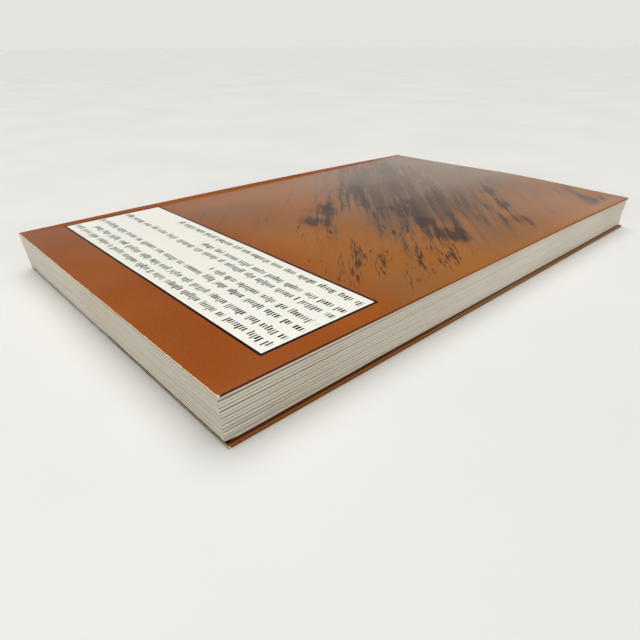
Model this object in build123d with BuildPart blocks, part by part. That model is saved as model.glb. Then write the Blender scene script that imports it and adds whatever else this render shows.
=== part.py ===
from build123d import *
from math import atan2, degrees
import os

# A trade paperback with French flaps, lying on its front cover.
# X runs from the spine to the fore edge, Y from the head to the tail and Z up,
# and the origin is under the middle of the closed book, on the face it lies on.
# Every dimension is in millimetres.

# Overall sizes
book_height = 216.0  # along the spine, from the head to the tail
book_width = 135.0  # from the spine to the fold at the fore edge
book_thickness = 14.5  # over both covers
book_lean = 1.2  # how far the back cover has slid towards the head

# Cover: one sheet of card, creased at the spine and folded in at the fore edge
card_thickness = 0.3
fold_gap = 0.1  # air between a cover and its turned-in flap
flap_width = 63.0
hinge_inset = 6.0  # from the spine to the score line that a cover turns on
spine_crease_radius = 0.7

# Page block
page_gap = 0.15  # between the pages and the card that lies on them
flap_edge_gap = 0.5  # between a flap's cut edge and the step in the pages
flap_step_run = 1.0  # how far along the pages that step slopes
fore_set_back_top = 0.6  # from the fold to the pages, under the back cover
fore_set_back_bottom = 1.3  # the same, over the front cover
section_count = 13  # folded sections of pages, sewn side by side
groove_share = 0.35  # part of a section's thickness that its groove takes
groove_depth_head = 0.45
groove_depth_tail = 0.12

# Hot-melt glue between the spine and the pages
glue_thickness = 0.5
side_glue_width = 4.0

# Places worked out from the sizes above
spine_x = -book_width / 2
fold_x = book_width / 2
hinge_x = spine_x + hinge_inset
flap_edge_x = fold_x - flap_width
fold_radius = card_thickness + fold_gap / 2
folded_thickness = 2 * fold_radius
block_spine_x = spine_x + card_thickness + glue_thickness
glue_edge_x = block_spine_x + side_glue_width
spine_side_inset = card_thickness + page_gap
fore_side_inset = folded_thickness + page_gap
lean_angle = degrees(atan2(book_lean, book_thickness))

# The head and the tail were trimmed square, so both ends of every piece lie in
# these two planes, which lean with the book. Each keeps what it faces.
middle = Plane((0, 0, book_thickness / 2)).rotated((lean_angle, 0, 0))
head_trim = Plane(middle.origin - (0, book_height / 2, 0), middle.x_dir, middle.y_dir)
tail_trim = Plane(middle.origin + (0, book_height / 2, 0), middle.x_dir, middle.y_dir)
trim_allowance = 2 * book_lean

# Profiles are drawn looking along the spine and run past both trimmed ends.
head_profile_plane = Plane.XZ.offset(book_height / 2 + trim_allowance)
tail_profile_plane = Plane.XZ.offset(-book_height / 2 - trim_allowance)
profile_length = book_height + 2 * trim_allowance


def trim_ends():
    """Cut the piece in hand to the book's height, along the leaning ends."""
    split(bisect_by=head_trim, keep=Keep.TOP)
    split(bisect_by=tail_trim, keep=Keep.BOTTOM)


def block_outline(groove_depth):
    """The page block's outline, with one groove between each two sections."""
    low = fore_side_inset
    high = book_thickness - fore_side_inset
    pitch = (high - low) / section_count
    half_groove = groove_share * pitch / 2
    step_x = flap_edge_x - flap_edge_gap
    fore_low_x = fold_x - fore_set_back_bottom
    slope = (fore_set_back_bottom - fore_set_back_top) / (high - low)
    points = [
        (block_spine_x, spine_side_inset),
        (step_x - flap_step_run, spine_side_inset),
        (step_x, low),
        (fore_low_x, low),
    ]
    for joint in range(1, section_count):
        z = low + joint * pitch
        x = fore_low_x + slope * (z - low)
        points.append((x, z - half_groove))
        points.append((x - groove_depth, z))
        points.append((x, z + half_groove))
    points += [
        (fold_x - fore_set_back_top, high),
        (step_x, high),
        (step_x - flap_step_run, book_thickness - spine_side_inset),
        (block_spine_x, book_thickness - spine_side_inset),
    ]
    return points


# Page block: the sewn sections, open at the fore edge
with BuildPart() as page_block:
    with BuildSketch(head_profile_plane):
        with BuildLine():
            Polyline(*block_outline(groove_depth_head), close=True)
        make_face()
    with BuildSketch(tail_profile_plane):
        with BuildLine():
            Polyline(*block_outline(groove_depth_tail), close=True)
        make_face()
    loft(ruled=True)
    trim_ends()
page_block.part.label = "page_block"

# Glue: a layer down the back of the pages and a strip along each side of them
with BuildPart() as spine_glue:
    with BuildSketch(tail_profile_plane):
        with BuildLine():
            Polyline(
                (spine_x + card_thickness, card_thickness),
                (glue_edge_x, card_thickness),
                (glue_edge_x, spine_side_inset),
                (block_spine_x, spine_side_inset),
                (block_spine_x, book_thickness - spine_side_inset),
                (glue_edge_x, book_thickness - spine_side_inset),
                (glue_edge_x, book_thickness - card_thickness),
                (spine_x + card_thickness, book_thickness - card_thickness),
                close=True,
            )
        make_face()
    extrude(amount=profile_length)
    trim_ends()
spine_glue.part.label = "spine_glue"

# Spine of the cover, up to the score line on each side
with BuildPart() as cover_spine:
    with BuildSketch(tail_profile_plane) as spine_section:
        with BuildLine():
            Polyline(
                (hinge_x, 0),
                (spine_x, 0),
                (spine_x, book_thickness),
                (hinge_x, book_thickness),
                (hinge_x, book_thickness - card_thickness),
                (spine_x + card_thickness, book_thickness - card_thickness),
                (spine_x + card_thickness, card_thickness),
                (hinge_x, card_thickness),
                close=True,
            )
        make_face()
        creases = spine_section.vertices().group_by(Axis.X)[0]
        fillet(creases, radius=spine_crease_radius)
    extrude(amount=profile_length)
    trim_ends()
cover_spine.part.label = "cover_spine"


def draw_folded_cover(outer_z, inward):
    """Sketch a cover and its flap; inward points from outer_z to the pages."""
    inner_z = outer_z + inward * card_thickness
    flap_outer_z = inner_z + inward * fold_gap
    flap_inner_z = outer_z + inward * folded_thickness
    bend_x = fold_x - fold_radius
    with BuildLine() as outline:
        Line((hinge_x, outer_z), (bend_x, outer_z))
        ThreePointArc(
            (bend_x, outer_z),
            (fold_x, outer_z + inward * fold_radius),
            (bend_x, flap_inner_z),
        )
        Line((bend_x, flap_inner_z), (flap_edge_x, flap_inner_z))
        Line((flap_edge_x, flap_inner_z), (flap_edge_x, flap_outer_z))
        Line((flap_edge_x, flap_outer_z), (bend_x, flap_outer_z))
        ThreePointArc(
            (bend_x, flap_outer_z),
            (bend_x + fold_gap / 2, outer_z + inward * fold_radius),
            (bend_x, inner_z),
        )
        Line((bend_x, inner_z), (hinge_x, inner_z))
        Line((hinge_x, inner_z), (hinge_x, outer_z))
    make_face(outline.edges())


# Front cover, underneath, with its flap turned in over it
with BuildPart() as front_cover:
    with BuildSketch(tail_profile_plane):
        draw_folded_cover(0, 1)
    extrude(amount=profile_length)
    trim_ends()
front_cover.part.label = "front_cover"

# Back cover, on top, with its flap turned in under it
with BuildPart() as back_cover:
    with BuildSketch(tail_profile_plane):
        draw_folded_cover(book_thickness, -1)
    extrude(amount=profile_length)
    trim_ends()
back_cover.part.label = "back_cover"

os.makedirs("parts", exist_ok=True)
export_step(page_block.part, "parts/page_block.step")
export_step(spine_glue.part, "parts/spine_glue.step")
export_step(cover_spine.part, "parts/cover_spine.step")
export_step(front_cover.part, "parts/front_cover.step")
export_step(back_cover.part, "parts/back_cover.step")
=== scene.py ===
import math

import bpy
import numpy as np
from mathutils import Matrix, Vector


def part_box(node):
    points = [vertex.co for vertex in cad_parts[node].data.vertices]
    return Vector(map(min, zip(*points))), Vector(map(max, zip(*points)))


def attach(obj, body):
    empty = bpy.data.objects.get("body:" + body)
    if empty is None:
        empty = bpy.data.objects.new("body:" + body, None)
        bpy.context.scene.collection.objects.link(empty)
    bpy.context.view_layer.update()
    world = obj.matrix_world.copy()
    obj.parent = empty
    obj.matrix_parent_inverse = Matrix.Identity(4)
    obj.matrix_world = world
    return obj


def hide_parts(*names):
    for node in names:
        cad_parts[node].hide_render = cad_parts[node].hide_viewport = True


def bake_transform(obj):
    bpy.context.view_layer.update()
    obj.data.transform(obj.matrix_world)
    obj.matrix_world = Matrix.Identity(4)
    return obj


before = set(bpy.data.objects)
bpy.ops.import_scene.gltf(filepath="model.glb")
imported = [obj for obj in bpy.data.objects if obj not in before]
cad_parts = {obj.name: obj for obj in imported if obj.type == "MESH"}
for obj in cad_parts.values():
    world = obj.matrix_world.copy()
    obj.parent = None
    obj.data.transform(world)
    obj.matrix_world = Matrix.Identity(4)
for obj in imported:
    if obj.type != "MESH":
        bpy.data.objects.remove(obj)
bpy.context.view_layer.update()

MM = 0.001

# ------------------------------------------------------------------ sizes, from the frame
BLOCK_LOW, BLOCK_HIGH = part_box("page_block")
SPINE_LOW, SPINE_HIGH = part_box("cover_spine")
GLUE_LOW, GLUE_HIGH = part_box("spine_glue")
_, BACK_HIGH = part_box("back_cover")
FRONT_LOW, FRONT_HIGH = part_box("front_cover")

SPINE_X = SPINE_LOW.x
HINGE_X = SPINE_HIGH.x
FOLD_X = FRONT_HIGH.x
TOP_Z = BACK_HIGH.z
CARD = GLUE_LOW.z
FOLDED = FRONT_HIGH.z
LEAN = (FRONT_HIGH.y + FRONT_LOW.y) / (1 - FOLDED / TOP_Z)
HEIGHT = 2 * FRONT_HIGH.y - LEAN
WIDTH = FOLD_X - SPINE_X

# ------------------------------------------------------------------ sizes of the finish, chosen here
FOLD_RADIUS = FOLDED / 2
PAGES_Z = BLOCK_LOW.z
FLAP_EDGE_X = 4.5 * MM
CREASE_RADIUS = 0.7 * MM
SEAM_X = HINGE_X - 3 * MM  # where the covers' card meets the spine's, on the glued strip
BEND_HALF = 0.8 * MM  # half the width that a score line bends over
SHOULDER = 0.7 * MM  # how proud the spine's edge stands; an opened cover still clears it
SHOULDER_START = 1.5 * MM  # from the score line, past the bend and the column of pages under it
SWELL_EASE = 70 * MM  # how far from the score line the top cover takes to reach its swell
SPINE_SWELL = 0.9 * MM  # how proud the top cover stands on the spine side, before it eases in
SPINE_SWELL_REACH = 0.8  # the share of the cover's width over which that fades out
TAIL_SWELL = 0.7 * MM  # how proud it stands between spine and fore edge at the tail
FLAP_DROP = 0.2 * MM  # how much lower it lies where no flap is under it
FLAP_DROP_START = 16 * MM  # how far on the spine side of the flap's cut edge it is fully down
FLAP_DROP_RUN = 20 * MM  # and how long the slope is
CORNER_DROP = 0.8 * MM  # how low the tail corner of the fore edge lies
SECTIONS = 13
SAMPLES_PER_SECTION = 12
ROWS_ALONG = 90  # steps from the head to the tail
UNDERCUT_HEAD = 0.006  # the lowest leaves lie further back, up to this share of the block's height
UNDERCUT_TAIL = 0.018
UNDERCUT_FADE = 0.010
UNDERCUT_FORE = 2.4 * MM
UNDERCUT_ENDS = 1.0 * MM
UNDERCUT_ENDS_SHARE = 0.042
GAP_MARK = 3.0  # added to a vertex's groove value there, to give it painted gap shadow
FORE_LEAN = 0.7 * MM  # how much further back the fore edge's lower leaves lie
STEP_START = 7 * MM  # how far before each flap's cut edge the pages start to thin
STEP_RUN = 6.5 * MM  # and how long that slope is
GROOVE_HALF = 0.17  # half a groove's width, as a share of a section
GROOVE_FORE = 0.30 * MM  # the deepest groove in the fore edge
GROOVE_ENDS = 0.20 * MM  # and in the head and tail
GROOVE_SHIFT = 0.07 * MM  # how unevenly the sections are stacked
LEAF_FORE = 0.012 * MM  # how uneven single leaves are at the fore edge
LEAF_ENDS = 0.010 * MM  # and at the head and tail
LEDGE_SEEN = 5 * MM  # how much of a flap, from its fold in, is dulled and given painted shade like the fold
PRESSED = 0.6  # power that squares the lower half of the fold that the book lies on


# ------------------------------------------------------------------ how the whole book has settled
def smooth(t):
    """0 below 0, 1 above 1 and an S-curve between."""
    t = np.clip(t, 0, 1)
    return t * t * (3 - 2 * t)


def swell(x, y):
    """How far the top cover stands above flat: proud on the spine side, down by the cut of the flap
    and low at the tail corner of the fore edge. It is flat at the score line, because the hinge's
    axis is straight and lies in the card there, and the spine's edge beyond the bend stands proud."""
    a = (x - SPINE_X) / WIDTH
    b = (y + HEIGHT / 2) / HEIGHT
    middle = 4 * b * (1 - b)
    spine_side = SPINE_SWELL * middle * (1 - smooth(a / SPINE_SWELL_REACH))
    tail_side = TAIL_SWELL * 4 * a * (1 - a) * smooth((b - 0.5) / 0.5)
    one_layer = -FLAP_DROP * (1 - smooth((x - FLAP_EDGE_X + FLAP_DROP_START) / FLAP_DROP_RUN))
    corner = -CORNER_DROP * smooth((a - 0.55) / 0.45) * smooth((b - 0.7) / 0.3)
    past_hinge = smooth((x - HINGE_X) / SWELL_EASE)
    shoulder_x = HINGE_X - SHOULDER_START
    shoulder = SHOULDER * middle * smooth((shoulder_x - x) / (shoulder_x - SPINE_X))
    return (spine_side + tail_side + one_layer + corner) * past_hinge + shoulder


def settle(points):
    """Move points of a square, flat book to where they are in the leaning, swollen one."""
    x, y, z = np.asarray(points, float).T
    level = z / TOP_Z
    return np.stack([x, y + LEAN / 2 - LEAN * level, z + level * swell(x, y)], 1)


# ------------------------------------------------------------------ mesh helpers
def make_object(name, points, faces, slots, materials):
    """A mesh of settled points, with one material slot number for each face."""
    mesh = bpy.data.meshes.new(name)
    mesh.from_pydata([tuple(p) for p in points], [], faces)
    for material in materials:
        mesh.materials.append(material)
    mesh.polygons.foreach_set("material_index", slots)
    mesh.polygons.foreach_set("use_smooth", [True] * len(faces))
    mesh.set_sharp_from_angle(angle=math.radians(35))
    mesh.validate()
    made = bpy.data.objects.new(name, mesh)
    bpy.context.scene.collection.objects.link(made)
    return made


def add_sheet_map(made, place):
    """A UV map that holds where each vertex is on the flat sheet, in millimetres."""
    layer = made.data.uv_layers.new(name="sheet")
    for loop in made.data.loops:
        layer.data[loop.index].uv = place[loop.vertex_index]


def card_object(name, outer, inner, across, materials, dulled_and_shaded=None):
    """A bent sheet of card. outer and inner are its section's two sides, as (x, z) lists, and across
    is how far each of them is along the flat sheet, from the fold. The materials are for the outer
    side, the inner side, the cut edges and, between two given values of across, the fold, where the laminate
    is dulled and shade is painted."""
    ys = np.linspace(-HEIGHT / 2, HEIGHT / 2, ROWS_ALONG + 1)
    wide = len(outer)
    points = []
    place = []
    for side in (outer, inner):
        for y in ys:
            for (x, z), s in zip(side, across):
                points.append((x, y, z))
                place.append((s / MM, (y + HEIGHT / 2) / MM))
    back = wide * len(ys)

    def at(side, row, column):
        return side * back + row * wide + column

    faces = []
    slots = []
    for row in range(ROWS_ALONG):
        for column in range(wide - 1):
            ring = [(row, column), (row, column + 1), (row + 1, column + 1), (row + 1, column)]
            faces.append([at(0, *corner) for corner in ring])
            faces.append([at(1, *corner) for corner in reversed(ring)])
            middle = (across[column] + across[column + 1]) / 2
            on_fold = dulled_and_shaded is not None and dulled_and_shaded[0] < middle < dulled_and_shaded[1]
            slots += [3 if on_fold else 0, 1]
        for column in (0, wide - 1):
            ring = [at(0, row, column), at(0, row + 1, column)]
            ring += [at(1, row + 1, column), at(1, row, column)]
            faces.append(ring if column == 0 else ring[::-1])
            slots.append(2)
    for column in range(wide - 1):
        for row in (0, ROWS_ALONG):
            ring = [at(0, row, column + 1), at(0, row, column)]
            ring += [at(1, row, column), at(1, row, column + 1)]
            faces.append(ring if row == 0 else ring[::-1])
            slots.append(2)
    made = make_object(name, settle(points), faces, slots, materials)
    add_sheet_map(made, place)
    return made


def flip_if_inside_out(made):
    """Turn every face over if the closed mesh has them facing inwards."""
    volume = 0.0
    mesh = made.data
    for face in mesh.polygons:
        a = mesh.vertices[face.vertices[0]].co
        for second, third in zip(face.vertices[1:-1], face.vertices[2:]):
            b = mesh.vertices[second].co
            c = mesh.vertices[third].co
            volume += a.dot(b.cross(c))
    if volume < 0:
        mesh.flip_normals()


# ------------------------------------------------------------------ sections of the card and the glue
def run_lengths(section):
    """How far each point of a section is from its first one, along the section."""
    lengths = [0.0]
    for (x0, z0), (x1, z1) in zip(section, section[1:]):
        lengths.append(lengths[-1] + math.hypot(x1 - x0, z1 - z0))
    return lengths


def steps(start, stop, longest):
    """Evenly spaced values from start to stop, no further apart than longest."""
    count = max(2, int(math.ceil(abs(stop - start) / longest)) + 1)
    return list(np.linspace(start, stop, count))


def cover_section(outer_z, inward, squareness):
    """The back or front cover's section: from the glued strip over the score line to the fold,
    round it and back to the flap's cut edge. A squareness under 1 flattens the fold's outer half."""
    bend_x = FOLD_X - FOLD_RADIUS
    xs = steps(SEAM_X, HINGE_X - BEND_HALF, 0.8 * MM)
    xs += steps(HINGE_X - BEND_HALF, HINGE_X + BEND_HALF, 0.1 * MM)[1:]
    xs += steps(HINGE_X + BEND_HALF, bend_x, 2 * MM)[1:]
    outer = [(x, outer_z) for x in xs]
    inner = [(x, outer_z + inward * CARD) for x in xs]
    across = [FOLD_X - x for x in xs]
    middle_z = outer_z + inward * FOLD_RADIUS
    for turn in steps(0, math.pi, math.radians(12))[1:]:
        power = squareness if turn < math.pi / 2 else 1.0
        for side, radius in ((outer, FOLD_RADIUS), (inner, FOLD_RADIUS - CARD)):
            reach = max(math.sin(turn), 0.0) ** power
            rise = math.copysign(abs(math.cos(turn)) ** power, math.cos(turn))
            side.append((bend_x + radius * reach, middle_z - inward * radius * rise))
        across.append(FOLD_RADIUS - turn * FOLD_RADIUS)
    turned = across[-1]
    for x in steps(bend_x, FLAP_EDGE_X, 2 * MM)[1:]:
        outer.append((x, outer_z + inward * FOLDED))
        inner.append((x, outer_z + inward * (FOLDED - CARD)))
        across.append(turned - (bend_x - x))
    return outer, inner, across


def spine_section():
    """The spine's section: up from one glued strip, over both creases, to the other."""
    outer = []
    inner = []
    inner_radius = CREASE_RADIUS - CARD
    for x in steps(SEAM_X, SPINE_X + CREASE_RADIUS, 0.8 * MM):
        outer.append((x, 0.0))
        inner.append((x, CARD))
    for turn in steps(0, math.pi / 2, math.radians(12))[1:]:
        for side, radius in ((outer, CREASE_RADIUS), (inner, inner_radius)):
            x = SPINE_X + CREASE_RADIUS - radius * math.sin(turn)
            side.append((x, CREASE_RADIUS - radius * math.cos(turn)))
    for z in steps(CREASE_RADIUS, TOP_Z / 2, 1 * MM)[1:]:
        outer.append((SPINE_X, z))
        inner.append((SPINE_X + CARD, z))
    for side in (outer, inner):
        side += [(x, TOP_Z - z) for x, z in reversed(side[:-1])]
    return outer, inner, run_lengths(outer)


def glue_section():
    """The glue's section: the layer down the backs of the pages, with a strip along each side."""
    radius = CREASE_RADIUS - CARD
    page_radius = 0.1 * MM
    strip = len(steps(GLUE_HIGH.x, GLUE_LOW.x, 0.8 * MM))
    outer = [(x, CARD) for x in np.linspace(GLUE_HIGH.x, GLUE_LOW.x + radius, strip)]
    inner = [(x, PAGES_Z) for x in np.linspace(GLUE_HIGH.x, BLOCK_LOW.x + page_radius, strip)]
    for turn in steps(0, math.pi / 2, math.radians(22))[1:]:
        side, rise = 1 - math.sin(turn), 1 - math.cos(turn)
        outer.append((GLUE_LOW.x + radius * side, CARD + radius * rise))
        inner.append((BLOCK_LOW.x + page_radius * side, PAGES_Z + page_radius * rise))
    layer = len(steps(CARD, TOP_Z / 2, 1 * MM))
    outer += [(GLUE_LOW.x, z) for z in np.linspace(outer[-1][1], TOP_Z / 2, layer)[1:]]
    inner += [(BLOCK_LOW.x, z) for z in np.linspace(inner[-1][1], TOP_Z / 2, layer)[1:]]
    for side in (outer, inner):
        side += [(x, TOP_Z - z) for x, z in reversed(side[:-1])]
    return outer, inner, run_lengths(outer)


# ------------------------------------------------------------------ page block
def block_levels():
    """Heights through the block as shares of it, closer together at each groove."""
    shares = []
    for section in range(SECTIONS):
        for k in range(SAMPLES_PER_SECTION):
            t = k / SAMPLES_PER_SECTION
            shares.append((section + t - 0.09 * math.sin(2 * math.pi * t)) / SECTIONS)
    return np.array(shares + [1.0])


def page_block_mesh(materials):
    """The sewn sections, with a groove between each two that is deepest at the near corner."""
    rng = np.random.default_rng(7)
    levels = block_levels()
    xs = np.linspace(0, 1, 71)
    ys = np.linspace(0, 1, ROWS_ALONG + 1)
    counts = (len(xs), len(ys), len(levels))
    wander = rng.normal(0, 1, (len(levels), 4))
    section_depth = 0.85 + 0.35 * rng.random(SECTIONS + 1)
    section_shift = rng.normal(0, GROOVE_SHIFT, SECTIONS)

    numbers = {}
    points = []
    grooves = []

    def point(i, j, k):
        key = (i, j, k)
        if key in numbers:
            return numbers[key]
        a, b, c = xs[i], ys[j], levels[k]
        undercut = UNDERCUT_HEAD + (UNDERCUT_TAIL - UNDERCUT_HEAD) * smooth(b / 0.35)
        under = smooth((undercut - c) / UNDERCUT_FADE)
        fore_x = BLOCK_HIGH.x - FORE_LEAN * smooth((0.9 - c) / 0.6) - UNDERCUT_FORE * under
        x = BLOCK_LOW.x + a * (fore_x - BLOCK_LOW.x)
        step = smooth((x - FLAP_EDGE_X + STEP_START) / STEP_RUN)
        inset = PAGES_Z + step * (FOLDED - CARD)
        z = inset + c * (TOP_Z - 2 * inset)
        end_under = smooth((UNDERCUT_ENDS_SHARE - c) / UNDERCUT_FADE)
        y = (b - 0.5) * (HEIGHT - 2 * UNDERCUT_ENDS * end_under)
        joint = c * SECTIONS
        nearest = int(round(joint))
        away = (joint - nearest) / GROOVE_HALF
        inside = 0 < nearest < SECTIONS
        groove = section_depth[nearest] * math.exp(-away * away) if inside else 0.0
        section = min(int(joint), SECTIONS - 1)
        wave = wander[k] @ np.array([0.5, math.sin(5 * b), math.sin(9 * a), 0.4])
        near_head = math.exp(-b / 0.24)
        near_fore = math.exp(-(1 - a) / 0.22)
        at_end = j == 0 or j == len(ys) - 1
        if i == len(xs) - 1:
            strength = 0.05 + 0.95 * near_head * (0.55 + 0.45 * abs(2 * c - 1.0))
            x -= GROOVE_FORE * groove * strength
            x += section_shift[section] * (0.3 + 0.7 * near_head) + LEAF_FORE * wave
        if at_end:
            inwards = 1 if j == 0 else -1
            strength = 0.12 + 0.88 * near_fore
            y += inwards * GROOVE_ENDS * groove * strength
            y += inwards * (0.3 * section_shift[section] + LEAF_ENDS * wave)
        numbers[key] = len(points)
        points.append((x, y, z))
        # the groove depth, which the page edges turn into painted shade, plus GAP_MARK where they paint gap
        # shadow
        grooves.append(groove + GAP_MARK * (end_under if at_end else under))
        return numbers[key]

    faces = []
    slots = []

    def face_grid(first, second, corner, slot, flip):
        for m in range(counts[first] - 1):
            for n in range(counts[second] - 1):
                ring = []
                for dm, dn in ((0, 0), (1, 0), (1, 1), (0, 1)):
                    at = dict(corner)
                    at[first] = m + dm
                    at[second] = n + dn
                    ring.append(point(at[0], at[1], at[2]))
                faces.append(ring[::-1] if flip else ring)
                slots.append(slot)

    last = [count - 1 for count in counts]
    face_grid(1, 2, {0: last[0]}, 0, False)
    face_grid(1, 2, {0: 0}, 0, True)
    face_grid(0, 2, {1: 0}, 0, False)
    face_grid(0, 2, {1: last[1]}, 0, True)
    face_grid(0, 1, {2: last[2]}, 1, False)
    face_grid(0, 1, {2: 0}, 1, True)
    made = make_object("pages", settle(points), faces, slots, materials)
    depth = made.data.attributes.new("groove", "FLOAT", "POINT")
    depth.data.foreach_set("value", np.array(grooves, np.float32))
    return made


# ------------------------------------------------------------------ material helpers
def linear(red, green, blue):
    """A colour given as it looks on screen, 0 to 255, as the renderer's linear values."""
    values = []
    for c in (red, green, blue):
        c = c / 255
        values.append(c / 12.92 if c <= 0.04045 else ((c + 0.055) / 1.055) ** 2.4)
    return (*values, 1.0)


class Paint:
    """A material being built: each method adds a node and returns its output."""

    def __init__(self, name, roughness=0.5, specular=0.5):
        self.material = bpy.data.materials.new(name)
        self.material.use_nodes = True
        self.tree = self.material.node_tree
        self.shader = self.tree.nodes["Principled BSDF"]
        self.shader.inputs["Roughness"].default_value = roughness
        self.shader.inputs["Specular IOR Level"].default_value = specular

    def node(self, kind, **settings):
        made = self.tree.nodes.new(kind)
        for key, value in settings.items():
            setattr(made, key, value)
        return made

    def feed(self, socket, value):
        """Link an output to a socket, or set the socket to a plain value."""
        if isinstance(value, bpy.types.NodeSocket):
            self.tree.links.new(value, socket)
        else:
            socket.default_value = value

    def maths(self, operation, *values):
        made = self.node("ShaderNodeMath", operation=operation)
        for socket, value in zip(made.inputs, values):
            self.feed(socket, value)
        return made.outputs[0]

    def add(self, a, b):
        return self.maths("ADD", a, b)

    def less(self, a, b):
        return self.maths("SUBTRACT", a, b)

    def times(self, a, b):
        return self.maths("MULTIPLY", a, b)

    def ramp(self, value, low, high, out_low=0.0, out_high=1.0):
        """value from low..high to out_low..out_high on an S-curve, and flat outside."""
        made = self.node("ShaderNodeMapRange", interpolation_type="SMOOTHSTEP")
        for socket, given in zip(made.inputs, (value, low, high, out_low, out_high)):
            self.feed(socket, given)
        return made.outputs[0]

    def mix(self, share, a, b):
        made = self.node("ShaderNodeMix", data_type="RGBA")
        self.feed(made.inputs["Factor"], share)
        self.feed(made.inputs[6], a)
        self.feed(made.inputs[7], b)
        return made.outputs[2]

    def vector(self, x, y, z=0.0):
        made = self.node("ShaderNodeCombineXYZ")
        for socket, value in zip(made.inputs, (x, y, z)):
            self.feed(socket, value)
        return made.outputs[0]

    def split(self, vector):
        made = self.node("ShaderNodeSeparateXYZ")
        self.feed(made.inputs[0], vector)
        return made.outputs[0], made.outputs[1], made.outputs[2]

    def noise(self, vector, scale=1.0, detail=2.0, roughness=0.5):
        made = self.node("ShaderNodeTexNoise")
        self.feed(made.inputs["Vector"], vector)
        made.inputs["Scale"].default_value = scale
        made.inputs["Detail"].default_value = detail
        made.inputs["Roughness"].default_value = roughness
        return made.outputs[0]

    def random(self, vector):
        made = self.node("ShaderNodeTexWhiteNoise", noise_dimensions="2D")
        self.feed(made.inputs["Vector"], vector)
        return made.outputs[0]

    def sheet(self):
        """Millimetres from the fore-edge fold and from the head, on the flat sheet."""
        made = self.node("ShaderNodeUVMap", uv_map="sheet")
        across, down, _ = self.split(made.outputs[0])
        return across, down

    def place(self):
        """Where the surface is in the row frame, in millimetres."""
        made = self.node("ShaderNodeTexCoord")
        scaled = self.node("ShaderNodeVectorMath", operation="SCALE")
        self.feed(scaled.inputs[0], made.outputs["Object"])
        scaled.inputs["Scale"].default_value = 1000
        return self.split(scaled.outputs[0])

    def bump(self, height, distance, strength=1.0):
        made = self.node("ShaderNodeBump")
        self.feed(made.inputs["Height"], height)
        made.inputs["Distance"].default_value = distance
        made.inputs["Strength"].default_value = strength
        self.feed(self.shader.inputs["Normal"], made.outputs[0])

    def finish(self, colour, roughness=None):
        self.feed(self.shader.inputs["Base Color"], colour)
        if roughness is not None:
            self.feed(self.shader.inputs["Roughness"], roughness)
        return self.material


# ------------------------------------------------------------------ colours
RUST = linear(153, 76, 20)
RUST_LIGHT = linear(165, 89, 28)
RUST_DEEP = linear(124, 58, 14)
OCHRE = linear(167, 102, 36)
CLAY = linear(150, 98, 50)
MARGIN_OCHRE = linear(168, 106, 42)
SPINE_SIDE = linear(122, 72, 32)
FOLD_BROWN = linear(146, 92, 44)
# painted shade for the folds, and painted shadow where the front flap runs in under the pages
FOLD_SHADE = linear(70, 32, 8)
INK = linear(48, 34, 26)
WASH = linear(88, 69, 52)
HAZE = linear(124, 103, 82)
PANEL = linear(250, 248, 238)
TYPE = linear(34, 34, 36)
CORE = linear(224, 208, 180)
PAGE = linear(221, 214, 200)
PAGE_LINE = linear(194, 186, 168)
PAGE_DARK = linear(112, 104, 90)
# painted shadow, for the undercut under the lowest leaves and the card's edge at the table
GAP_SHADOW = linear(52, 42, 32)
RULE_INK = linear(14, 12, 12)
LEDGE = linear(150, 88, 30)
# the ledge's colour towards the tail, made tan by a painted reflection
LEDGE_FAR = linear(146, 112, 70)
# a grey brown for the front fold where it meets the table
FOLD_FOOT_GREY = linear(140, 116, 82)
# a grey brown that the front cover's cut edge is mixed towards
EDGE_GREY = linear(122, 110, 88)
CORE_DARK = linear(200, 182, 152)
CORE_FLAP = linear(176, 164, 140)
INSIDE = linear(238, 234, 222)
INSIDE_DARK = linear(229, 223, 207)
EDGE_FOXED = linear(196, 184, 160)
LEAF = linear(232, 226, 210)
LEAF_DARK = linear(225, 217, 198)
LEAF_RIM = linear(212, 198, 168)
GLUE = linear(224, 208, 168)
GLUE_DARK = linear(204, 182, 136)
TABLE = linear(236, 235, 231)
TABLE_DARK = linear(231, 231, 228)


# ------------------------------------------------------------------ the print
MARGIN = 6.0  # plain strip along the fold, in millimetres
PANEL_HEAD = 14.9
PANEL_TAIL = 54.2
PANEL_SPINE = 131.0
RULE = 0.85  # the line round the panel
TYPE_START = 8.0
X_HEIGHT = 1.9
STROKE_PITCH = 1.05
WORD_CELL = 7.5  # each stretch of a line this long has one gap between words, somewhere in it
WORD_GAP = 1.25
TEXT_LINES = ((19.3, 129), (23.9, 124), (29.3, 129), (33.7, 57), (39.3, 129), (43.5, 79), (49.9, 105))


def inside_box(paint, across, down, box, soft=0.06):
    """1 inside a box of (near fold, far, head, tail) and 0 outside."""
    near, far, head, tail = box
    one = paint.ramp(across, near - soft, near + soft)
    two = paint.ramp(across, far - soft, far + soft, 1.0, 0.0)
    three = paint.ramp(down, head - soft, head + soft)
    four = paint.ramp(down, tail - soft, tail + soft, 1.0, 0.0)
    return paint.times(paint.times(one, two), paint.times(three, four))


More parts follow.
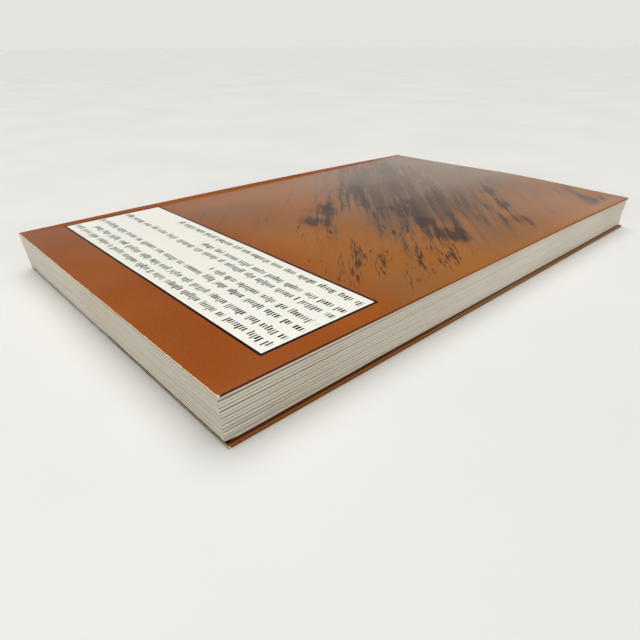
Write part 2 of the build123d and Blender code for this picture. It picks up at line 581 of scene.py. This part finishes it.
def greeked_lines(paint, across, down):
    """Rows of short upright strokes with gaps, which stand for lines of print and spell nothing."""
    total = None
    cell = paint.maths("FLOOR", paint.maths("DIVIDE", across, STROKE_PITCH))
    within = paint.maths("FRACT", paint.maths("DIVIDE", across, STROKE_PITCH))
    stretch = paint.maths("DIVIDE", across, WORD_CELL)
    word = paint.maths("FLOOR", stretch)
    along_word = paint.maths("FRACT", stretch)
    for number, (baseline, end) in enumerate(TEXT_LINES):
        row = float(number)
        gap_at = paint.add(0.15, paint.times(paint.random(paint.vector(word, row + 0.5)), 0.7))
        to_gap = paint.maths("ABSOLUTE", paint.less(along_word, gap_at))
        gap = paint.ramp(paint.times(to_gap, WORD_CELL), WORD_GAP / 2, WORD_GAP / 2 + 0.1)
        tall = paint.random(paint.vector(cell, row + 20.5))
        width = paint.random(paint.vector(cell, row + 40.5))
        half = paint.add(0.20, paint.times(width, 0.16))
        off = paint.maths("ABSOLUTE", paint.less(within, 0.5))
        stroke = paint.ramp(paint.less(half, off), -0.03, 0.05)
        rise = paint.add(X_HEIGHT / 2, paint.times(paint.ramp(tall, 0.74, 0.76), 0.7))
        fall = paint.add(X_HEIGHT / 2, paint.times(paint.ramp(tall, 0.12, 0.10), 0.6))
        above = paint.ramp(paint.less(down, paint.less(baseline, rise)), -0.08, 0.12)
        below = paint.ramp(paint.less(paint.add(baseline, fall), down), -0.08, 0.12)
        length = inside_box(paint, across, down, (TYPE_START, end, baseline - 3, baseline + 3))
        line = paint.times(paint.times(stroke, gap), paint.times(above, below))
        line = paint.times(line, length)
        total = line if total is None else paint.maths("MAXIMUM", total, line)
    return total


STROKE_ANGLE = math.radians(44)
STROKE_COS = math.cos(STROKE_ANGLE)
STROKE_SIN = math.sin(STROKE_ANGLE)
# Where the dry-brushed ink lies: middle from the fold and from the head, reach along the strokes,
# reach across them, and weight.
INK_PATCHES = (
    (71, 87, 11, 10, 1.15),
    (78, 102, 15, 11, 1.1),
    (74, 118, 20, 12, 0.9),
    (88, 127, 28, 12, 0.8),
    (62, 130, 24, 9, 0.85),
    (25, 114, 12, 9, 1.1),
    (40, 119, 9, 7, 0.85),
    (36, 134, 16, 8, 0.7),
    (54, 143, 26, 7, 0.65),
    (17, 146, 13, 8, 1.2),
    (32, 161, 16, 7, 0.95),
    (47, 174, 16, 8, 0.75),
    (8, 202, 15, 6, 1.05),
)
WASH_PATCHES = (
    (52, 137, 38, 30, 0.95),
    (88, 150, 64, 24, 1.0),
    (10, 198, 26, 7, 0.8),
)
HAZE_PATCHES = ((90, 188, 90, 64, 1.1), (84, 136, 60, 34, 0.7))
FLECK_PATCHES = (
    (28, 72, 34, 26, 0.95),
    (16, 92, 34, 22, 1.0),
    (40, 102, 22, 16, 1.0),
    (58, 80, 22, 14, 0.95),
)


def stroke_frame(paint, across, down):
    """Coordinates along and beside the brush strokes."""
    along = paint.add(paint.times(across, STROKE_COS), paint.times(down, STROKE_SIN))
    beside = paint.less(paint.times(down, STROKE_COS), paint.times(across, STROKE_SIN))
    return along, beside


def patches(paint, along, beside, places):
    """The strongest of several soft oval patches, laid along the strokes."""
    strongest = None
    for middle_across, middle_down, reach, width, weight in places:
        middle_along = middle_across * STROKE_COS + middle_down * STROKE_SIN
        middle_beside = middle_down * STROKE_COS - middle_across * STROKE_SIN
        u = paint.times(paint.less(along, middle_along), 1 / reach)
        v = paint.times(paint.less(beside, middle_beside), 1 / width)
        away = paint.maths("SQRT", paint.add(paint.times(u, u), paint.times(v, v)))
        patch = paint.ramp(away, 0.0, 1.6, weight, 0.0)
        strongest = patch if strongest is None else paint.maths("MAXIMUM", strongest, patch)
    return strongest


def brushed_ink(paint, across, down):
    """Ink dragged one way with a dry brush: dark patches with loose flecks, a wash, and a haze."""
    along, beside = stroke_frame(paint, across, down)

    def streaks(length, width, seed, detail=3.0):
        place = paint.vector(paint.times(along, 1 / length), paint.times(beside, 1 / width), seed)
        return paint.less(paint.noise(place, 1.0, detail, 0.55), 0.5)

    long = streaks(70.0, 5.5, 1.0)
    medium = streaks(30.0, 2.2, 5.0)
    hairs = streaks(14.0, 0.6, 9.0)
    blot = paint.less(paint.noise(paint.vector(across, down, 3.0), 0.16, 5.0, 0.65), 0.5)
    rough = paint.add(paint.times(long, 2.0), paint.times(medium, 1.3))
    rough = paint.add(rough, paint.times(hairs, 0.6))
    dark = paint.add(patches(paint, along, beside, INK_PATCHES), rough)
    dark = paint.ramp(paint.add(dark, paint.times(blot, 1.0)), 0.42, 1.15)
    thin = paint.add(patches(paint, along, beside, WASH_PATCHES), rough)
    thin = paint.ramp(thin, 0.1, 1.05, 0.0, 0.9)
    haze = paint.add(patches(paint, along, beside, HAZE_PATCHES), paint.times(rough, 0.5))
    haze = paint.ramp(haze, 0.1, 1.1, 0.0, 0.8)
    short = streaks(6.0, 0.8, 21.0)
    clumps = streaks(34.0, 4.0, 31.0)
    flecks = paint.add(paint.times(short, 2.2), paint.times(clumps, 2.0))
    flecks = paint.add(flecks, patches(paint, along, beside, FLECK_PATCHES))
    flecks = paint.ramp(flecks, 0.92, 1.35, 0.0, 0.9)
    return paint.maths("MAXIMUM", dark, flecks), thin, haze


def edge_wear(paint, across, down):
    """1 where the print has rubbed off: along the cut head and tail and at the ends of the folds."""
    chips = paint.noise(paint.vector(across, down, 5.0), 1.1, 4.0, 0.65)
    long_chips = paint.noise(paint.vector(across, down, 9.0), 0.12, 2.0)
    tall = HEIGHT / MM
    rim = paint.maths("MINIMUM", down, paint.less(tall, down))
    reach = paint.add(paint.times(chips, 0.5), paint.times(long_chips, 0.25))
    at_rim = paint.ramp(paint.less(rim, paint.less(reach, 0.32)), 0.0, 0.12, 1.0, 0.0)
    to_fold = paint.maths("ABSOLUTE", across)
    corner = paint.add(rim, paint.times(to_fold, 0.55))
    at_corner = paint.ramp(paint.less(corner, paint.times(chips, 0.9)), 0.0, 0.25, 1.0, 0.0)
    return paint.maths("MAXIMUM", at_rim, at_corner)


def fold_turn(paint, across):
    """How far round the fold, in radians: 0 on the cover, pi where the flap starts, and on from there."""
    return paint.less(1.0, paint.times(across, MM / FOLD_RADIUS))


def top_fold(paint, across, down, colour):
    """The back cover's fold: painted shade in dark brown round it, strong at the head and fading towards the
    tail, where it is ochre.
    """
    turn = fold_turn(paint, across)
    colour = paint.mix(paint.ramp(down, 40.0, 110.0, 0.0, 0.8), colour, FOLD_BROWN)
    # painted shade round the fold, deep at the head and faint towards the tail
    shade = paint.times(paint.ramp(turn, 0.0, 0.7), paint.ramp(down, 20.0, 110.0, 0.9, 0.15))
    return paint.mix(shade, colour, FOLD_SHADE)


def bottom_fold(paint, across, down, colour):
    """The front cover's fold: ochre on its crown, turning tan towards the tail in a painted reflection,
    with painted shadow on the flap beside the pages, a dark band round its curve, and greyer where it meets
    the table."""
    turn = fold_turn(paint, across)
    far = paint.ramp(down, 25.0, 130.0)
    # the crown's colour turns tan towards the tail: a painted reflection
    colour = paint.mix(0.8, colour, paint.mix(far, LEDGE, LEDGE_FAR))
    # painted shadow on the flap where it runs in under the pages, fading towards the tail
    beside = paint.times(paint.ramp(turn, 3.3, 4.8), paint.ramp(down, 25.0, 130.0, 0.9, 0.1))
    colour = paint.mix(beside, colour, FOLD_SHADE)
    crease = paint.times(paint.ramp(turn, 1.1, 1.6), paint.ramp(turn, 2.5, 2.0))
    colour = paint.mix(paint.times(crease, 0.65), colour, FOLD_SHADE)
    # greyer in patches where the fold meets the table
    chips = paint.noise(paint.vector(paint.times(across, 2.0), down, 14.0), 0.35, 3.0)
    greyed_foot = paint.times(paint.ramp(turn, 1.3, 0.9), paint.ramp(chips, 0.25, 0.55, 0.35, 0.9))
    return paint.mix(greyed_foot, colour, FOLD_FOOT_GREY)


def plain_print(paint, across, down):
    """The rust ground that the whole cover is printed with."""
    cloud = paint.noise(paint.vector(across, down, 1.0), 0.018, 2.0)
    return paint.mix(paint.ramp(cloud, 0.35, 0.65), RUST, RUST_LIGHT)


def mottle(paint, across, down, colour):
    """Fine light and dark mottling of the print."""
    speck = paint.noise(paint.vector(across, down, 2.0), 2.2, 2.0)
    colour = paint.mix(paint.ramp(speck, 0.52, 0.74, 0.0, 0.5), colour, RUST_LIGHT)
    return paint.mix(paint.ramp(speck, 0.46, 0.26, 0.0, 0.4), colour, RUST_DEEP)


def laminate(paint, across, down, colour, smooth_end, rough_end):
    """Finish printed card: rubbed edges, a slightly uneven gloss and the film's orange peel."""
    wear = edge_wear(paint, across, down)
    smear = paint.noise(paint.vector(across, down, 7.0), 0.07, 4.0, 0.6)
    roughness = paint.ramp(smear, 0.3, 0.7, smooth_end, rough_end)
    roughness = paint.add(roughness, paint.times(wear, 0.25))
    orange_peel = paint.noise(paint.vector(across, down, 4.0), 1.4, 3.0, 0.6)
    paint.bump(paint.less(orange_peel, paint.times(wear, 0.6)), 0.02 * MM, 0.6)
    return paint.finish(paint.mix(wear, colour, CORE), roughness)


def plain_cover(name):
    """Laminated card with the rust ground alone."""
    paint = Paint(name, specular=0.36)
    across, down = paint.sheet()
    colour = mottle(paint, across, down, plain_print(paint, across, down))
    return laminate(paint, across, down, colour, 0.21, 0.27)


def back_cover_print():
    """Laminated card with a panel of greeked print near its head and brushed ink below."""
    paint = Paint("back_print", specular=0.36)
    across, down = paint.sheet()
    colour = plain_print(paint, across, down)
    hue = paint.noise(paint.vector(across, down, 6.0), 0.022, 2.0)
    field = paint.mix(paint.ramp(hue, 0.4, 0.62), OCHRE, CLAY)
    colour = paint.mix(paint.ramp(down, PANEL_TAIL - 6, PANEL_TAIL + 14), colour, field)
    colour = mottle(paint, across, down, colour)
    colour = paint.mix(paint.ramp(across, 45.0, 115.0, 0.0, 0.3), colour, SPINE_SIDE)
    art = paint.times(paint.ramp(across, 2.0, 8.0), paint.ramp(down, PANEL_TAIL, PANEL_TAIL + 3))
    dark, thin, haze = brushed_ink(paint, across, down)
    colour = paint.mix(paint.times(haze, art), colour, HAZE)
    colour = paint.mix(paint.times(thin, art), colour, WASH)
    colour = paint.mix(paint.times(paint.times(dark, art), 0.9), colour, INK)
    margin = paint.times(paint.ramp(across, MARGIN + 2, MARGIN - 4), paint.ramp(down, 50.0, 120.0))
    colour = paint.mix(paint.times(margin, 0.6), colour, MARGIN_OCHRE)
    frame_box = (MARGIN, PANEL_SPINE, PANEL_HEAD, PANEL_TAIL)
    paper_box = (MARGIN + RULE, PANEL_SPINE - RULE, PANEL_HEAD + RULE, PANEL_TAIL - RULE)
    colour = paint.mix(inside_box(paint, across, down, frame_box), colour, RULE_INK)
    colour = paint.mix(inside_box(paint, across, down, paper_box), colour, PANEL)
    colour = paint.mix(greeked_lines(paint, across, down), colour, TYPE)
    return laminate(paint, across, down, colour, 0.21, 0.27)


def fold_print(name, shading):
    """The card at a fold, where handling has dulled the laminate and shading paints shade into its colour."""
    paint = Paint(name, specular=0.12)
    across, down = paint.sheet()
    colour = mottle(paint, across, down, plain_print(paint, across, down))
    colour = shading(paint, across, down, colour)
    return laminate(paint, across, down, colour, 0.42, 0.52)


def card_inside():
    """The uncoated inner side of the cover card."""
    paint = Paint("card_inside", specular=0.3)
    across, down = paint.sheet()
    cloud = paint.noise(paint.vector(across, down, 1.0), 0.05, 3.0)
    fibre = paint.noise(paint.vector(across, down, 3.0), 3.0, 3.0, 0.7)
    colour = paint.mix(paint.ramp(cloud, 0.3, 0.7), INSIDE, INSIDE_DARK)
    colour = paint.mix(paint.ramp(fibre, 0.6, 0.8, 0.0, 0.25), colour, CORE)
    paint.bump(fibre, 0.02 * MM, 0.5)
    return paint.finish(colour, paint.ramp(cloud, 0.3, 0.7, 0.6, 0.75))


def card_core(name, greying_and_shadow):
    """The cut edge of the card: pale board, greyer and with painted shadow at its foot, both by the given
    share.
    """
    paint = Paint(name, roughness=0.85, specular=0.2)
    across, down = paint.sheet()
    cloud = paint.noise(paint.vector(across, down, 1.0), 0.25, 3.0, 0.6)
    colour = paint.mix(paint.ramp(cloud, 0.4, 0.7), CORE, CORE_DARK)
    colour = paint.mix(paint.ramp(across, -0.2, -0.7, 0.0, 0.7), colour, CORE_FLAP)
    # greyer brown over most of the edge, by the given share
    colour = paint.mix(paint.ramp(cloud, 0.3, 0.6, 0.6 * greying_and_shadow, greying_and_shadow), colour, EDGE_GREY)
    _, _, z = paint.place()
    # painted shadow along the edge's lowest quarter millimetre, where it meets the table
    colour = paint.mix(paint.ramp(z, 0.25, 0.05, 0.0, 0.8 * greying_and_shadow), colour, GAP_SHADOW)
    fibre = paint.noise(paint.vector(across, down, 5.0), 4.0, 2.0)
    paint.bump(fibre, 0.03 * MM, 0.6)
    return paint.finish(colour)


def page_edges():
    """The trimmed edges of the leaves: fine lines along them, with painted shade in the grooves and painted
    shadow in the undercut under the lowest leaves.
    """
    paint = Paint("page_edges", roughness=0.8, specular=0.2)
    x, y, z = paint.place()
    run = paint.add(x, y)
    leaf = paint.noise(paint.vector(paint.times(run, 0.012), paint.times(z, 4.2), 1.0), 1.0, 3.0, 0.6)
    fine = paint.noise(paint.vector(paint.times(run, 0.05), paint.times(z, 9.0), 8.0), 1.0, 2.0)
    cloud = paint.noise(paint.vector(x, y, z), 0.03, 3.0)
    lines = paint.ramp(y, -100.0, 20.0, 1.0, 0.45)
    colour = paint.mix(paint.times(paint.ramp(leaf, 0.35, 0.7), lines), PAGE, PAGE_LINE)
    colour = paint.mix(paint.times(paint.ramp(fine, 0.55, 0.75, 0.0, 0.35), lines), colour, PAGE_DARK)
    colour = paint.mix(paint.ramp(cloud, 0.45, 0.7, 0.0, 0.35), colour, EDGE_FOXED)
    depth = paint.node("ShaderNodeAttribute", attribute_name="groove").outputs["Fac"]
    to_head = paint.ramp(y, -108.0, 0.0, 1.0, 0.12)
    to_fore = paint.ramp(x, -20.0, 67.0, 0.25, 1.0)
    # painted shade in the grooves between sections, strongest towards the head and the fore edge
    shade = paint.times(paint.ramp(depth, 0.35, 1.0), paint.times(to_head, to_fore))
    colour = paint.mix(paint.times(shade, 0.7), colour, PAGE_DARK)
    # painted shadow on the undercut's faces, where GAP_MARK was added
    gap = paint.times(paint.ramp(depth, 1.5, 2.6), paint.ramp(y, -90.0, 20.0, 1.0, 0.45))
    colour = paint.mix(gap, colour, GAP_SHADOW)
    paint.bump(paint.add(leaf, paint.times(fine, 0.5)), 0.05 * MM, 0.8)
    return paint.finish(colour)


def page_face():
    """The first and last leaf, plain uncoated paper."""
    paint = Paint("page_face", specular=0.25)
    x, y, z = paint.place()
    cloud = paint.noise(paint.vector(x, y, z), 0.03, 3.0)
    fibre = paint.noise(paint.vector(x, y, z), 2.5, 4.0, 0.7)
    rim_x = paint.ramp(x, 45.0, 67.0)
    rim_y = paint.ramp(paint.maths("ABSOLUTE", y), 92.0, 108.0)
    rim = paint.maths("MAXIMUM", rim_x, rim_y)
    colour = paint.mix(paint.ramp(cloud, 0.35, 0.65), LEAF, LEAF_DARK)
    colour = paint.mix(paint.times(rim, 0.45), colour, LEAF_RIM)
    colour = paint.mix(paint.ramp(fibre, 0.6, 0.8, 0.0, 0.15), colour, PAGE_DARK)
    paint.bump(fibre, 0.02 * MM, 0.5)
    return paint.finish(colour, paint.ramp(cloud, 0.3, 0.7, 0.75, 0.88))


def glue_finish():
    """Hot-melt glue, pale amber and a little shiny."""
    paint = Paint("hot_melt", specular=0.4)
    x, y, z = paint.place()
    cloud = paint.noise(paint.vector(x, y, z), 0.5, 3.0)
    colour = paint.mix(paint.ramp(cloud, 0.35, 0.65), GLUE, GLUE_DARK)
    paint.bump(cloud, 0.05 * MM, 0.4)
    return paint.finish(colour, paint.ramp(cloud, 0.3, 0.7, 0.35, 0.55))


# ------------------------------------------------------------------ pieces
def make_pages():
    pages = page_block_mesh([page_edges(), page_face()])
    flip_if_inside_out(pages)
    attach(pages, "book_body")
    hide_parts("page_block")


def make_glue():
    outer, inner, across = glue_section()
    finish = glue_finish()
    glue = card_object("hot_melt_glue", outer, inner, across, [finish] * 3)
    flip_if_inside_out(glue)
    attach(glue, "book_body")
    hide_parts("spine_glue")


def make_cover_spine(inside, core):
    outer, inner, across = spine_section()
    spine = card_object("spine_card", outer, inner, across, [plain_cover("spine_print"), inside, core])
    flip_if_inside_out(spine)
    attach(spine, "book_body")
    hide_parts("cover_spine")


def make_cover(node, outer_z, inward, squareness, materials):
    outer, inner, across = cover_section(outer_z, inward, squareness)
    dulled_and_shaded = (-(math.pi - 1) * FOLD_RADIUS - LEDGE_SEEN, FOLD_RADIUS)
    cover = card_object(node + "_card", outer, inner, across, materials, dulled_and_shaded)
    flip_if_inside_out(cover)
    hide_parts(node)
    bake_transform(cover)


def make_book():
    inside = card_inside()
    core = card_core("card_core", 0.0)
    # the front cover's cut edge: greyer, with painted shadow at the table
    greyed_shadowed_core = card_core("card_core_below", 1.0)
    make_pages()
    make_glue()
    make_cover_spine(inside, core)
    back_fold = fold_print("back_fold", top_fold)
    back = [back_cover_print(), inside, core, back_fold]
    make_cover("back_cover", TOP_Z, -1, 1.0, back)
    front_fold = fold_print("front_fold", bottom_fold)
    front = [plain_cover("front_print"), inside, greyed_shadowed_core, front_fold]
    make_cover("front_cover", 0.0, 1, PRESSED, front)


# ------------------------------------------------------------------ table, light and camera
def make_table():
    mesh = bpy.data.meshes.new("table")
    far = 12.0
    mesh.from_pydata([(-far, -far, 0), (far, -far, 0), (far, far, 0), (-far, far, 0)], [], [(0, 1, 2, 3)])
    paint = Paint("table_white", roughness=0.7, specular=0.1)
    x, y, z = paint.place()
    cloud = paint.noise(paint.vector(x, y, z), 0.01, 2.0)
    colour = paint.mix(paint.ramp(cloud, 0.3, 0.7), TABLE, TABLE_DARK)
    mesh.materials.append(paint.finish(colour))
    table = bpy.data.objects.new("table", mesh)
    bpy.context.scene.collection.objects.link(table)


def add_area_light(name, position, target, size, power, colour=(1, 1, 1)):
    data = bpy.data.lights.new(name, "AREA")
    data.shape = "DISK"
    data.size = size
    data.energy = power
    data.color = colour
    light = bpy.data.objects.new(name, data)
    direction = Vector(target) - Vector(position)
    turn = direction.to_track_quat("-Z", "Y").to_matrix().to_4x4()
    light.matrix_world = Matrix.Translation(position) @ turn
    bpy.context.scene.collection.objects.link(light)


SKY_CENTRE = Vector((-0.11, 0.12, 0.98)).normalized()  # the middle of the overhead light
SKY_DIM = 0.04
SKY_OVERHEAD = 3.13
SKY_HORIZON = 1.07
BACKDROP = linear(228, 227, 223)


def make_sky():
    """A studio with a broad light overhead and a pale band low down, dim between the two, so that
    the laminate stays rich in colour. The backdrop itself is nearly the colour of the table."""
    world = bpy.data.worlds.new("studio")
    world.use_nodes = True
    tree = world.node_tree
    tree.nodes.clear()

    def node(kind, **settings):
        made = tree.nodes.new(kind)
        for key, value in settings.items():
            setattr(made, key, value)
        return made

    def ramp(value, low, high, out_low, out_high):
        made = node("ShaderNodeMapRange", interpolation_type="SMOOTHSTEP")
        tree.links.new(value, made.inputs["Value"])
        for name, number in zip(("From Min", "From Max", "To Min", "To Max"), (low, high, out_low, out_high)):
            made.inputs[name].default_value = number
        return made.outputs[0]

    direction = node("ShaderNodeTexCoord").outputs["Generated"]
    split = node("ShaderNodeSeparateXYZ")
    tree.links.new(direction, split.inputs[0])
    facing = node("ShaderNodeVectorMath", operation="DOT_PRODUCT")
    tree.links.new(direction, facing.inputs[0])
    facing.inputs[1].default_value = SKY_CENTRE
    strength = node("ShaderNodeMath", operation="ADD")
    tree.links.new(ramp(facing.outputs["Value"], 0.74, 0.96, SKY_DIM, SKY_OVERHEAD), strength.inputs[0])
    tree.links.new(ramp(split.outputs["Z"], 0.12, 0.33, SKY_HORIZON, 0.0), strength.inputs[1])
    light = node("ShaderNodeBackground")
    light.inputs["Color"].default_value = (1.0, 0.995, 0.98, 1.0)
    tree.links.new(strength.outputs[0], light.inputs["Strength"])
    backdrop = node("ShaderNodeBackground")
    backdrop.inputs["Color"].default_value = BACKDROP
    mixed = node("ShaderNodeMixShader")
    tree.links.new(node("ShaderNodeLightPath").outputs["Is Camera Ray"], mixed.inputs[0])
    tree.links.new(light.outputs[0], mixed.inputs[1])
    tree.links.new(backdrop.outputs[0], mixed.inputs[2])
    output = node("ShaderNodeOutputWorld")
    tree.links.new(mixed.outputs[0], output.inputs[0])
    bpy.context.scene.world = world


def light_scene():
    make_sky()
    add_area_light("head_fill", (-0.15, -0.85, 0.2), (0, 0, 0), 0.7, 1.5)
    add_area_light("fore_fill", (0.85, -0.15, 0.2), (0, 0, 0), 0.7, 1.5)
    bpy.context.scene.view_settings.view_transform = "Standard"


# The camera stands close to the corner of the head and the fore edge, with a short lens.
CAMERA_AZIMUTH = 47.58
CAMERA_ELEVATION = 28.65
CAMERA_ROLL = -0.31
CAMERA_DISTANCE = 0.724  # these three are shares of the book's height
AIM_FROM_SPINE = 0.491
AIM_FROM_HEAD = 0.249
LENS = 28.39
SENSOR = 36.0


def add_camera():
    data = bpy.data.cameras.new("camera")
    data.lens = LENS
    data.sensor_width = SENSOR
    data.clip_start = 0.01
    data.clip_end = 20
    azimuth = math.radians(CAMERA_AZIMUTH)
    elevation = math.radians(CAMERA_ELEVATION)
    level = math.cos(elevation)
    back = Vector((math.sin(azimuth) * level, -math.cos(azimuth) * level, math.sin(elevation)))
    right = Vector((math.cos(azimuth), math.sin(azimuth), 0))
    up = back.cross(right)
    aim_x = SPINE_X + AIM_FROM_SPINE * HEIGHT
    aim_y = -HEIGHT / 2 - LEAN / 2 + AIM_FROM_HEAD * HEIGHT
    position = Vector((aim_x, aim_y, 0)) + back * CAMERA_DISTANCE * HEIGHT
    roll = math.radians(CAMERA_ROLL)
    turned_right = right * math.cos(roll) + up * math.sin(roll)
    turned_up = up * math.cos(roll) - right * math.sin(roll)
    turn = Matrix((turned_right, turned_up, back)).transposed().to_4x4()
    camera = bpy.data.objects.new("camera", data)
    camera.matrix_world = Matrix.Translation(position) @ turn
    bpy.context.scene.collection.objects.link(camera)
    bpy.context.scene.camera = camera


make_book()
make_table()
light_scene()
add_camera()
